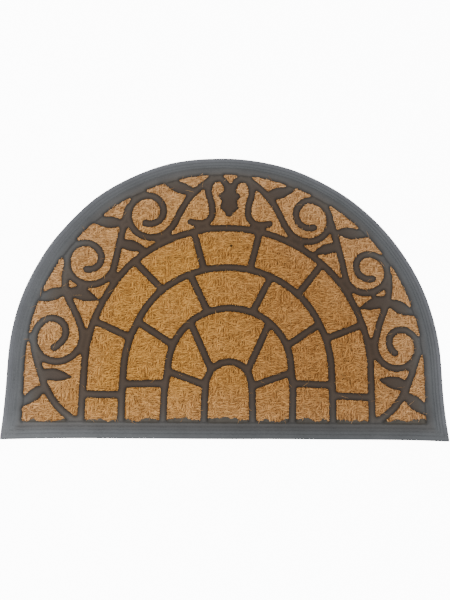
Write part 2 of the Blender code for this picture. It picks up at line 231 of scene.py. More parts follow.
# Rubber: moulded in one piece from ground-up tyre rubber, so it is dull, a little dusty and never quite even
rubber = {
    "shoulderHeight": 7.8,  # where the solid's ribs leave their walls
    "pocketFloor": 2.0,
    "roofClear": 0.3,  # the pocket's roof above the coir
    "sharpAngle": 50.0,
    "edgeFine": 0.6,  # ways are measured from points this close along the edges, the rim and the groove
    "rimFine": 0.8,
    "grooveFine": 0.5,

    "edgeStep": 1.3,  # spacing of the points along the edge of an opening, and how often it is evened out
    "edgeRounding": 1,
    "ragged": 0.42,  # how far an edge strays, and over what length
    "raggedLength": 3.2,
    "raggedSeed": 7.7,

    "ribProfile": [  # way in from the edge of an opening, height
        (0.0, 7.5), (0.7, 8.15), (1.6, 8.6), (2.8, 8.88), (4.2, 9.0),
    ],
    "ribWidth": 10.0,  # ribs that run together each keep this width, with a crease between them
    "creaseShare": 0.75,
    "mergedWays": (5.6, 7.0, 8.5, 10.0, 11.5),
    "ribKept": 0.93,  # a row's point is left out where another edge is nearer than this share of its way
    "leaves": [  # root x and y, tip x and y, and how far the flat face reaches from the line between them
        (252, -127, 208, -118, 10), (-258, -114, -212, -120, 10), (243, -138, 281, -168, 10),
        (-249, -132, -281, -160, 10), (225, -7, 266, -27, 10), (-226, 0, -267, -15, 10),
        (228, -3, 183, -18, 10), (-224, 1, -181, -13, 10), (153, 94, 202, 88, 10), (-151, 98, -196, 99, 10),
        (158, 73, 118, 60, 10), (-156, 69, -117, 60, 10), (50, 143, 96, 156, 10), (-50, 147, -97, 159, 10),
        (-1, 162, -1, 112, 26),
    ],
    "leafFrom": 0.25,  # the flat face starts at this share of the way from root to tip
    "lumps": 0.06,  # how uneven the top is, and over what length
    "lumpLength": 9.0,
    "lumpSeed": 1.9,
    "leastHeight": 7.4,

    "rimStep": 4.0,
    "rimRounding": 6,
    "rimCornerAngle": 30.0,
    "rimOut": 0.9,  # how far the rim stands out all round, and how far it wanders from that over what length
    "rimWave": 0.55,
    "rimWaveLength": 70.0,
    "rimSeed": 3.1,
    "bulge": (-141.0, 165.0, 120.0, 2.1),  # place x and y, reach, and how far the rim stands out more there
    "corners": [(-1, -1.4, -2.0), (1, 3.9, -2.0)],  # side, and how far that front corner sags along x and y
    "cornerReach": 110.0,
    "borderProfile": [  # way in from the rim, height
        (0.0, 3.2), (3.0, 4.9), (6.0, 4.1), (8.2, 6.3), (11.0, 5.4), (13.2, 7.6), (15.4, 6.9), (17.6, 9.0),
    ],
    "borderStep": 0.8,
    "borderSlack": 0.1,  # its lumps sink it by no more
    "grooveIn": 3.8,  # the groove inside the border, in from the edge of the coir's pocket
    "grooveStep": 1.4,
    "grooveHalfWidth": 1.8,
    "grooveDepth": 0.9,
    "grooveBowl": 1.2,  # over 1, its floor is flat
    "pocketStep": 2.0,

    "flashReach": [  # the thin flash of rubber over the coir at the front: place along it, how far it reaches
        (-275.0, 2.0), (-250.0, 2.2), (-170.0, 4.2), (-110.0, 3.9), (-60.0, 5.6), (0.0, 5.6), (60.0, 5.3),
        (115.0, 5.6), (170.0, 4.6), (250.0, 5.2), (275.0, 5.4),
    ],
    "flashRagged": (3.9, 2.1),  # how far its edge strays, coarsely and finely, and over what lengths
    "flashRaggedLength": (8.0, 2.6),
    "flashSeed": 4.4,
    "flashLeast": 0.9,
    "flashStep": 0.8,
    "flashClear": 0.5,  # between the end of its ragged edge and the opening's own
    "flashGrid": 0.9,  # spacing of its points, how far they span, and how far they keep off the edges
    "flashSpan": 280.0,
    "gridClear": 0.4,
    "frontBand": 1.0,  # openings that start within this of the foremost have flash
    "flashHeight": 7.95,
    "flashEdge": (2.0, 7.5),  # its edge falls away over this way, to this height
    "flashLumps": 5,  # times as lumpy as the ribs
    "flashBack": 2.4,  # an opening's edge counts as a rib's own from this far behind its front

    "roughness": 0.66,
    "specular": 0.2,
    "cloudSize": 38.0,  # clouds of dust, and the crumbs, each lighten or darken it by the mottle
    "gritSize": 1.8,  # real crumbs are about 1 mm, drawn this coarse so that they show
    "mottle": 0.2,
    "gritBump": 0.3,
    "gritDepth": 0.25,
    "toneReach": 100.0,  # over this way in from the rim the rubber turns from grey to brown
    "toneFront": 8.0,  # the front greys it only as much as if it were this much farther off
    "toneTop": 0.35,  # the turn is this much quicker at the top, which starts and is full at these places
    "toneTopFrom": 60.0,
    "toneTopTo": 140.0,
    # the dark dip at 0.25 is painted shade where the border's inner edge slopes down into the groove
    "tones": [
        (0.0, "#66676b"), (0.08, "#58595b"), (0.18, "#545556"), (0.25, "#4d4c4b"), (0.3, "#504e4c"),
        (0.4, "#4e4740"), (0.55, "#493f37"), (1.0, "#433529"),
    ],
    "flashTone": "#4b463f",
    "paintedShadeReach": 4.6,  # how far the painted shade on a rib's flank reaches, and how dark that painted shade is at the edge
    "paintedEdgeShade": 0.42,
    "paintedGrooveShade": 0.7,  # the groove gets this share of the painted shade
    "leafShade": 0.9,
    "paintedLightAndShade": [  # painted light and painted shade in soft patches on the rubber: place x and y, reach along x and y, and the shade, under 1 a painted shadow and over 1 a painted highlight
        (85.0, -200.0, 150.0, 75.0, 0.8), (-295.0, -200.0, 110.0, 28.0, 1.42),
        (300.0, -200.0, 50.0, 50.0, 1.12), (0.0, -200.0, 500.0, 28.0, 1.1),
        (75.0, -45.0, 110.0, 100.0, 0.9), (-75.0, 190.0, 70.0, 30.0, 1.13),
        (300.0, -60.0, 30.0, 120.0, 1.1),
    ],
    "hairReach": 7.0,  # stray hairs thin out over this way from an opening, down to the least share
    "hairLeast": 0.02,
}

solid = bmesh.new()
solid.from_mesh(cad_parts["rubber_moulding"].data)
bmesh.ops.remove_doubles(solid, verts=solid.verts, dist=1e-6)
solid.normal_update()
rimLoop = levelLoops(solid, 0.0)[0]
pocketLoop = levelLoops(solid, rubber["pocketFloor"])[0]
openings = levelLoops(solid, rubber["shoulderHeight"])
solid.free()
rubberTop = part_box("rubber_moulding")[1].z / mm
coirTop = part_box("coir_sheet")[1].z / mm
print("loops read:", len(openings), "openings")


def rubberMaterial():
    material, tree, shader = newMaterial("moulded crumb rubber", rubber["roughness"], rubber["specular"])
    place = addNode(tree, "ShaderNodeTexCoord").outputs["Object"]
    rimWay = addNode(tree, "ShaderNodeAttribute", {"attribute_name": "rimWay"}).outputs["Fac"]
    shade = addNode(tree, "ShaderNodeAttribute", {"attribute_name": "shade"}).outputs["Fac"]
    flash = addNode(tree, "ShaderNodeAttribute", {"attribute_name": "flashShare"}).outputs["Fac"]
    base = addNode(tree, "ShaderNodeValToRGB", None, None, {0: rimWay})
    stops = base.color_ramp.elements
    for number, (position, tone) in enumerate(rubber["tones"]):
        stop = stops[number] if number < 2 else stops.new(position)
        stop.position = position
        stop.color = linearColour(tone)
    flashed = addNode(
        tree, "ShaderNodeMix", {"data_type": "RGBA"}, {7: linearColour(rubber["flashTone"])},
        {0: flash, 6: base.outputs["Color"]},
    )
    cloud, grit = (
        addNode(
            tree, "ShaderNodeTexNoise", None, {"Scale": 1 / (size * mm), "Detail": detail}, {"Vector": place},
        ).outputs["Fac"]
        for size, detail in ((rubber["cloudSize"], 4.0), (rubber["gritSize"], 2.0))
    )
    mottle = rubber["mottle"]
    mottles = [
        addNode(
            tree, "ShaderNodeMapRange", None, {"To Min": 1 - mottle, "To Max": 1 + mottle},
            {"Value": texture},
        ).outputs["Result"]
        for texture in (cloud, grit)
    ]
    colour = flashed.outputs[2]
    # the crumbs and clouds of dust, then the shade attribute, which carries painted shade and painted
    # highlights
    for factor in [*mottles, shade]:
        colour = addNode(
            tree, "ShaderNodeVectorMath", {"operation": "SCALE"}, None, {0: colour, "Scale": factor},
        ).outputs[0]
    tree.links.new(colour, shader.inputs["Base Color"])
    bump = addNode(
        tree, "ShaderNodeBump", None, {"Strength": rubber["gritBump"], "Distance": rubber["gritDepth"] * mm},
        {"Height": grit},
    )
    tree.links.new(bump.outputs[0], shader.inputs["Normal"])
    return material


def flashLine(xs):  # how far the ragged flash reaches in from the front of the openings
    way = np.column_stack((xs, np.zeros(len(xs))))
    reach = np.interp(xs, *zip(*rubber["flashReach"]))
    for ragged, length in zip(rubber["flashRagged"], rubber["flashRaggedLength"]):
        reach = reach + ragged * softNoise(way, length, rubber["flashSeed"] + length)
    return np.maximum(reach, rubber["flashLeast"])


def behindFlash(loop, front):  # the part of an opening that the flash leaves free
    free = loop[:, 1] > front + flashLine(loop[:, 0])
    starts = np.flatnonzero(free & ~np.roll(free, 1))
    runs = []
    for start in starts:
        turned = np.roll(free, -start)
        runs.append((int(np.argmin(turned)), start))
    length, start = max(runs)
    kept = np.roll(loop, -start, axis=0)[:length]
    step = rubber["flashStep"]
    xs = np.arange(kept[-1][0] + rubber["flashClear"], kept[0][0] - step / 2, step)
    return np.vstack((kept, np.column_stack((xs, front + flashLine(xs)))))


def leafShare(points):  # 1 on the flat face of a leaf, and 0 clear of it
    share = np.zeros(len(points))
    for rootX, rootY, tipX, tipY, reach in rubber["leaves"]:
        root, line = np.array((rootX, rootY)), np.array((tipX - rootX, tipY - rootY))
        along = np.clip((points - root) @ line / (line @ line), rubber["leafFrom"], 1)
        away = np.linalg.norm(points - root - along[:, None] * line, axis=1)
        share = np.maximum(share, np.clip(2 - 2 * away / reach, 0, 1))
    return share


def ownRibWay(points, way, groove):  # way in from the edge of a rib, also where ribs run together
    merged = np.minimum(way, np.abs(rubber["ribWidth"] - way))
    share = rubber["creaseShare"] * openness(points, [groove]) * (1 - leafShare(points))
    return way + (merged - way) * share


def unevenRim():
    rim = softLoop(finerLoop(rimLoop, rubber["rimStep"]), rubber["rimRounding"], rubber["rimCornerAngle"])
    out = rubber["rimOut"] + rubber["rimWave"] * softNoise(rim, rubber["rimWaveLength"], rubber["rimSeed"])
    x, y, reach, bulge = rubber["bulge"]
    out += bulge * np.clip(2 - 2 * np.linalg.norm(rim - (x, y), axis=1) / reach, 0, 1)
    rim = rim + outwardNormals(rim) * out[:, None]
    for side, sagX, sagY in rubber["corners"]:
        corner = rim[np.argmax(side * rim[:, 0] - rim[:, 1])]
        share = np.clip(1 - np.linalg.norm(rim - corner, axis=1) / rubber["cornerReach"], 0, 1) ** 2
        rim = rim + share[:, None] * (sagX, sagY)
    return rim


def rubberShade(points, paintedShadeShare):  # what the tone is multiplied by: painted shade on the rib flanks, the creases, the groove, the walls and the underside, a darker leaf face, and soft patches of painted light and shade
    shade = 1 - (1 - rubber["paintedEdgeShade"]) * paintedShadeShare
    shade *= 1 - (1 - rubber["leafShade"]) * leafShare(points)
    # soft patches of painted shadow and painted highlight on the rubber
    for x, y, reachX, reachY, paintedFactor in rubber["paintedLightAndShade"]:
        away = ((points[:, 0] - x) / reachX) ** 2 + ((points[:, 1] - y) / reachY) ** 2
        shade *= 1 + (paintedFactor - 1) * np.exp(-away)
    return shade


def toneWay(points, rim, front):  # 0 at the rim and 1 where the rubber is brown
    sides = finerLoop(rim, rubber["rimFine"])
    ways = nearestWays(points, sides[sides[:, 1] > front])
    ways = np.minimum(ways, points[:, 1] - rim[:, 1].min() + rubber["toneFront"])
    topSpan = rubber["toneTopTo"] - rubber["toneTopFrom"]
    ways *= 1 + rubber["toneTop"] * np.clip((points[:, 1] - rubber["toneTopFrom"]) / topSpan, 0, 1)
    return np.clip(ways / rubber["toneReach"], 0, 1)


def rubberPiece(material):
    rim = unevenRim()
    front = min(loop[:, 1].min() for loop in openings)
    moulded = []  # the openings as moulded
    for number, loop in enumerate(openings):
        soft = softLoop(evenLoop(loop, rubber["edgeStep"]), rubber["edgeRounding"])
        moulded.append(strayed(soft, rubber["ragged"], rubber["raggedLength"], rubber["raggedSeed"] + number))
    atFront = [loop[:, 1].min() < front + rubber["frontBand"] for loop in moulded]
    fronts = [loop for loop, isFront in zip(moulded, atFront) if isFront]
    edges = [behindFlash(loop, front) if isFront else loop for loop, isFront in zip(moulded, atFront)]
    mouldedPoints = np.vstack([finerLoop(loop, rubber["edgeFine"]) for loop in moulded])
    mouldedPoints = mouldedPoints[mouldedPoints[:, 1] > front + rubber["flashBack"]]
    edgePoints = np.vstack([finerLoop(edge, rubber["edgeFine"]) for edge in edges])
    pocketEven = evenLoop(pocketLoop, rubber["pocketStep"])
    groove = finerLoop(insetLoop(pocketEven, rubber["grooveIn"]), rubber["grooveFine"])

    # points of the relief: rows along the border, the ribs and the groove, and a fine grid in the flash
    borderPoints = []
    borderEnd = rubber["borderProfile"][-1][0] + 0.1  # so that a row lies on the very end of the profile
    for inset in np.arange(rubber["borderStep"], borderEnd, rubber["borderStep"]):
        borderPoints.append(insetLoop(rim, inset))
    ribPoints = []
    for way in [way for way, _ in rubber["ribProfile"][1:]] + list(rubber["mergedWays"]):
        for loop in moulded:
            moved = loop + outwardNormals(loop) * way
            ribPoints.append(moved[nearestWays(moved, mouldedPoints) > way * rubber["ribKept"]])
    deepest = front + max(reach for _, reach in rubber["flashReach"]) + sum(rubber["flashRagged"])
    columns = np.arange(-rubber["flashSpan"], rubber["flashSpan"], rubber["flashGrid"])
    grid = np.array([(x, y) for y in np.arange(front, deepest, rubber["flashGrid"]) for x in columns])
    frontEdges = np.vstack([loop[loop[:, 1] < deepest] for loop in fronts])
    flashPoints = np.vstack((grid[openness(grid, fronts) > 0], frontEdges))
    grooveWays = [rubber["grooveIn"] + side * rubber["grooveHalfWidth"] for side in (-1, 0, 1)]
    grooveRows = [finerLoop(insetLoop(pocketEven, way), rubber["grooveStep"]) for way in grooveWays]
    finePoints = np.vstack((flashPoints, *grooveRows))
    finePoints = finePoints[openness(finePoints, edges) == 0]
    finePoints = finePoints[nearestWays(finePoints, edgePoints) > rubber["gridClear"]]
    inner = np.vstack(borderPoints + ribPoints + [finePoints])
    holes = set(range(1, len(edges) + 1))
    points, triangles = filledPlan([rim, *edges], inner, holes)

    mouldedWay = nearestWays(points, mouldedPoints)
    edgeWay = nearestWays(points, edgePoints)
    ribWay = ownRibWay(points, mouldedWay, groove)
    ribHeight = np.interp(ribWay, *zip(*rubber["ribProfile"]))
    rimWay = nearestWays(points, finerLoop(rim, rubber["rimFine"]))
    borderHeight = np.interp(rimWay, *zip(*rubber["borderProfile"]))
    lumps = rubber["lumps"] * softNoise(points, rubber["lumpLength"], rubber["lumpSeed"])
    bowl = rubber["grooveBowl"]
    sunk = np.clip(bowl - bowl * nearestWays(points, groove) / rubber["grooveHalfWidth"], 0, 1)
    heights = np.minimum(ribHeight, borderHeight) + lumps - rubber["grooveDepth"] * sunk
    inFlash = openness(points, fronts)
    edgeReach, edgeHeight = rubber["flashEdge"]
    flashWay = np.minimum(mouldedWay, edgeWay)
    flashHeight = np.interp(flashWay, (0.0, edgeReach), (edgeHeight, rubber["flashHeight"]))
    heights = np.where(inFlash > 0, flashHeight + rubber["flashLumps"] * lumps, heights)
    least = rubber["leastHeight"]
    floor = np.where(borderHeight < least, borderHeight - rubber["borderSlack"], least)
    heights = np.clip(heights, floor, rubberTop)

    allPoints = [np.column_stack((points, heights))]
    faces = list(triangles)
    total = len(points)

    def addLoop(loop, height):
        nonlocal total
        allPoints.append(np.column_stack((loop, np.full(len(loop), height))))
        total += len(loop)
        return list(range(total - len(loop), total))

    # the rim's wall and the underside, the walls of the openings, and the pocket for the coir
    rimFoot = addLoop(rim, 0.0)
    faces += wallBetween(rimFoot, list(range(len(rim))), False)
    faces.append(rimFoot[::-1])
    roofHeight = coirTop + rubber["roofClear"]
    first = len(rim)
    roofRings = []
    for edge in edges:
        roofRings.append(addLoop(edge, roofHeight))
        faces += wallBetween(roofRings[-1], list(range(first, first + len(edge))), True)
        first += len(edge)
    pocketRoof = addLoop(pocketLoop, roofHeight)
    pocketFoot = addLoop(pocketLoop, rubber["pocketFloor"])
    numbers = pocketRoof + [number for ring in roofRings for number in ring]
    _, roofTriangles = filledPlan([pocketLoop, *edges], [], holes)
    faces += [[numbers[corner] for corner in face[::-1]] for face in roofTriangles]
    faces += wallBetween(pocketFoot, pocketRoof, True)
    faces.append(pocketFoot)

    everyPoint = np.vstack(allPoints)
    plan = everyPoint[:, :2]
    piece = newPiece("rubber_mat", everyPoint.tolist(), faces, material, rubber["sharpAngle"])
    below = np.zeros(total - len(points))
    # painted shade: dark on the flanks of the ribs, in the creases between them and in the groove, where
    # shade falls; every wall and the underside get the full painted shade
    paintedShadeShare = np.maximum(np.clip(1 - ribWay / rubber["paintedShadeReach"], 0, 1), rubber["paintedGrooveShade"] * sunk)
    nearCoir = np.clip(1 - edgeWay / rubber["hairReach"], rubber["hairLeast"], 1.0)
    addAttribute(piece.data, "rimWay", toneWay(plan, rim, front))
    addAttribute(piece.data, "shade", rubberShade(plan, np.concatenate((paintedShadeShare, below + 1))))
    addAttribute(piece.data, "flashShare", np.concatenate((inFlash, below)))
    addAttribute(piece.data, "openShare", np.concatenate((nearCoir, below)))
    addAttribute(piece.data, "weaveTurn", np.zeros(total))
    return piece, edges


# Coir: coconut husk fibre spun into loose yarn and woven, golden brown, hairy and dull
coir = {
    "step": 2.6,  # spacing of the sheet's points, and the share of it that they keep off its edge
    "stepClear": 0.6,
    "clear": 0.3,  # between the sheet and the wall of its pocket
    "underside": 2.3,
    "underRubber": 6.6,  # height of its top under the ribs, and where it shows, with the relief there
    "inOpening": 5.6,
    "relief": 0.9,
    "rowHeight": 6.2,  # a row of the weave, and the length of one float in it
    "floatLength": 9.0,
    "rowDrift": (0.3, 30.0, 5.5),  # how far the rows wander, over what length, and the seed
    "rowShift": (0.5, 0.35, 2.3),  # the floats start farther along in every other row, and swing at a pace
    "crossShare": 0.34,  # share of the floats that lie across the rows
    "crossPick": (127.1, 311.7, 43758.5453),  # large odd numbers that pick them evenly
    "floatFlat": 0.55,  # share of a float's height that is there from end to end
    "sway": 20.0,  # how far the fibres sway off the weave in degrees, over what length, and the seed
    "swayLength": 8.0,
    "swaySeed": 9.2,
    "pile": (0.25, 5.0, 2.2),  # unevenness of the pile, over what length, and the seed

    "roughness": 0.9,
    "specular": 0.15,
    "yarnTones": ("#78491b", "#f0ba7e"),  # the darkest and the lightest fibre
    "hairTones": ("#a26e3c", "#e8bf8e"),
    "fleckSize": 2.2,  # flecks in the fibres, as coarse as they need to show
    "fleckShare": 0.7,
    "lightest": 1.7,  # the fibre's own tone and its flecks add up to this where it is lightest
    "gapShadeTone": 0.05,  # tone of the sheet below the strands, kept dark as painted shade in the gaps between the tufts
    "speck": (1.5, 68.5),  # one dark fleck of husk
    "speckRadius": 1.9,
    "speckFade": (0.6, 1.5),  # it fades out between these shares of its radius
    "speckTone": 0.12,
    "goldenFrom": 30.0,  # over these ways in from the rim the coir turns from pale to golden
    "goldenTo": 132.0,
    "goldenFront": 54.0,  # the front pales the coir only as much as if it were this much farther off
    "frontBand": 4.0,  # the rim this near the front counts as front
    "rimFine": 2.0,
    "goldenTones": ("#f3e7af", "#e2d5b3"),  # on the left and on the right, and the stretch that parts them
    "goldenMiddle": (-60.0, 90.0),
    "goldenCloud": 60.0,  # size of the clouds that break the turn up
    "goldenStray": 0.5,
}


def coirMaterial(name, darkest, lightest):
    material, tree, shader = newMaterial(name, coir["roughness"], coir["specular"])
    place = addNode(tree, "ShaderNodeTexCoord").outputs["Object"]
    tone = addNode(tree, "ShaderNodeAttribute", {"attribute_name": "strawTone"}).outputs["Fac"]
    rimWay = addNode(tree, "ShaderNodeAttribute", {"attribute_name": "rimWay"}).outputs["Fac"]
    fleck, cloud = (
        addNode(
            tree, "ShaderNodeTexNoise", None, {"Scale": 1 / (size * mm), "Detail": detail}, {"Vector": place},
        ).outputs["Fac"]
        for size, detail in ((coir["fleckSize"], 3.0), (coir["goldenCloud"], 2.0))
    )
    mixed = addNode(
        tree, "ShaderNodeMath", {"operation": "MULTIPLY_ADD"}, {1: coir["fleckShare"]}, {0: fleck, 2: tone},
    ).outputs[0]
    share = addNode(
        tree, "ShaderNodeMapRange", None, {"From Min": 0.0, "From Max": coir["lightest"]}, {"Value": mixed},
    ).outputs["Result"]
    fibre = addNode(
        tree, "ShaderNodeMix", {"data_type": "RGBA"},
        {6: linearColour(darkest), 7: linearColour(lightest)}, {0: share},
    ).outputs[2]

    # pale at the rim and golden farther in, a little differently on the left and on the right
    stray = coir["goldenStray"]
    wandered = addNode(
        tree, "ShaderNodeMath", {"operation": "MULTIPLY_ADD"}, {1: stray, 2: -stray / 2}, {0: cloud},
    ).outputs[0]
    golden = addNode(
        tree, "ShaderNodeMath", {"operation": "ADD", "use_clamp": True}, None, {0: rimWay, 1: wandered},
    ).outputs[0]
    sideways = addNode(tree, "ShaderNodeSeparateXYZ", None, None, {0: place}).outputs["X"]
    left, right = coir["goldenMiddle"]
    rightShare = addNode(
        tree, "ShaderNodeMapRange", None, {"From Min": left * mm, "From Max": right * mm},
        {"Value": sideways},
    ).outputs["Result"]
    leftTone, rightTone = (linearColour(hexText) for hexText in coir["goldenTones"])
    goldenTone = addNode(
        tree, "ShaderNodeMix", {"data_type": "RGBA"}, {6: leftTone, 7: rightTone}, {0: rightShare},
    ).outputs[2]
    shift = addNode(
        tree, "ShaderNodeMix", {"data_type": "RGBA"}, {6: (1.0, 1.0, 1.0, 1.0)}, {0: golden, 7: goldenTone},
    ).outputs[2]
    shifted = addNode(
        tree, "ShaderNodeMix", {"data_type": "RGBA", "blend_type": "MULTIPLY", "clamp_result": False},
        {0: 1.0}, {6: fibre, 7: shift},
    ).outputs[2]

    speckX, speckY = coir["speck"]
    away = addNode(
        tree, "ShaderNodeVectorMath", {"operation": "DISTANCE"},
        {1: (speckX * mm, speckY * mm, coirTop * mm)}, {0: place},
    ).outputs["Value"]
    radius = coir["speckRadius"]
    fadeFrom, fadeTo = coir["speckFade"]
    speck = addNode(
        tree, "ShaderNodeMapRange", None,
        {"From Min": fadeFrom * radius * mm, "From Max": fadeTo * radius * mm, "To Min": coir["speckTone"]},
        {"Value": away},
    ).outputs["Result"]
    marked = addNode(
        tree, "ShaderNodeVectorMath", {"operation": "SCALE"}, None, {0: shifted, "Scale": speck},
    ).outputs[0]
    tree.links.new(marked, shader.inputs["Base Color"])
    return material


def weaveAt(points):  # height of the weave in 0 to 1, and which way its floats lie
    drift, driftLength, driftSeed = coir["rowDrift"]
    row = points[:, 1] / coir["rowHeight"] + drift * softNoise(points, driftLength, driftSeed)
    rowNumber = np.floor(row)
    everyOther, swing, pace = coir["rowShift"]
    column = points[:, 0] / coir["floatLength"] + everyOther * (rowNumber % 2)
    column = column + swing * np.sin(rowNumber * pace)
    rowPick, columnPick, spread = coir["crossPick"]
    pick = np.sin(rowNumber * rowPick + np.floor(column) * columnPick) * spread
    across = (pick - np.floor(pick)) < coir["crossShare"]
    rise = np.sqrt(np.clip(np.sin(math.pi * (row - rowNumber)), 0, 1))
    bulge = np.sqrt(np.clip(np.sin(math.pi * (column - np.floor(column))), 0, 1))
    noiseGain = 1.6  # the noise seldom comes near 1
    sway = np.radians(coir["sway"]) * softNoise(points, coir["swayLength"], coir["swaySeed"]) * noiseGain
    flat = coir["floatFlat"]
    return rise * (flat + (1 - flat) * bulge), np.where(across, math.pi / 2, 0.0) + sway


def coirPiece(material, edges):
    edge = insetLoop(finerLoop(pocketLoop, coir["step"]), coir["clear"])
    low, high = edge.min(axis=0), edge.max(axis=0)
    columns = np.arange(low[0], high[0], coir["step"])
    grid = np.array([(x, y) for y in np.arange(low[1], high[1], coir["step"]) for x in columns])
    grid = grid[openness(grid, [edge]) > 0]
    grid = grid[nearestWays(grid, edge) > coir["step"] * coir["stepClear"]]
    points, triangles = filledPlan([edge], grid, set())
    openShare = openness(points, edges)
    rise, turn = weaveAt(points)
    pile, pileLength, pileSeed = coir["pile"]
    height = coir["inOpening"] + coir["relief"] * (rise - 0.5)
    height = height + pile * softNoise(points, pileLength, pileSeed)
    heights = np.where(openShare > 0, height, coir["underRubber"])
    top = np.column_stack((points, heights))
    foot = np.column_stack((edge, np.full(len(edge), coir["underside"])))
    footNumbers = list(range(len(top), len(top) + len(edge)))
    faces = list(triangles) + wallBetween(footNumbers, list(range(len(edge))), False) + [footNumbers[::-1]]
    piece = newPiece("coir_weave", np.vstack((top, foot)).tolist(), faces, material)

    sides = finerLoop(rimLoop, coir["rimFine"])
    front = sides[:, 1].min()
    rimWay = nearestWays(points, sides[sides[:, 1] > front + coir["frontBand"]])
    rimWay = np.minimum(rimWay, points[:, 1] - front + coir["goldenFront"])
    golden = np.clip((rimWay - coir["goldenFrom"]) / (coir["goldenTo"] - coir["goldenFrom"]), 0, 1)
    below = np.zeros(len(edge))
    addAttribute(piece.data, "openShare", np.concatenate((openShare, below)))
    addAttribute(piece.data, "weaveTurn", np.concatenate((turn, below)))
    addAttribute(piece.data, "strawTone", np.full(len(top) + len(edge), coir["gapShadeTone"]))
    addAttribute(piece.data, "rimWay", np.concatenate((golden, below)))
    return piece, abs(loopArea(edge))


# Strands of coir, laid by one node tree: points strewn over the sheet, each with a tapered, arched strand.
# A real fibre is 0.3 mm thick, too fine to show, so one strand stands for a tuft and one hair for a few.
strandKinds = [  # strands lie at least a spacing apart, turn off the weave by the jitter and dip by the tilt
    {"name": "coir_strands", "layers": 3, "seed": 40, "Spacing": 3.3, "Length": 8.8, "Width": 2.3,
     "Flatness": 0.58, "Arch": 1.7, "Lift": 0.4, "Jitter": 0.4, "Tilt": 0.13},
    {"name": "coir_hairs", "layers": 1, "seed": 43, "Spacing": 4.0, "Length": 10.0, "Width": 0.42,
     "Flatness": 1.0, "Arch": 1.8, "Lift": 1.0, "Jitter": 1.5, "Tilt": 0.16},
    {"name": "stray_hairs", "layers": 1, "seed": 47, "Spacing": 22.0, "Length": 10.0, "Width": 0.32,
     "Flatness": 1.0, "Arch": 1.5, "Lift": 0.15, "Jitter": 3.1, "Tilt": 0.02},
]
lengthInputs = ("Spacing", "Length", "Width", "Arch", "Lift")
layerSeed = 17  # from one layer's seed to the next

strand = {
    "sizes": ((0.7, 0.7, 0.8), (1.3, 1.3, 1.25)),  # least and most, of its length, width and height
    "lifts": (0.4, 1.6),
    "tip": (0.3, 0.22, 0.5),  # a tip's share of the strand's way, the scale at its end and that at its foot
    "densest": 4e6,  # points for each square metre, so that only the spacing holds them apart
}


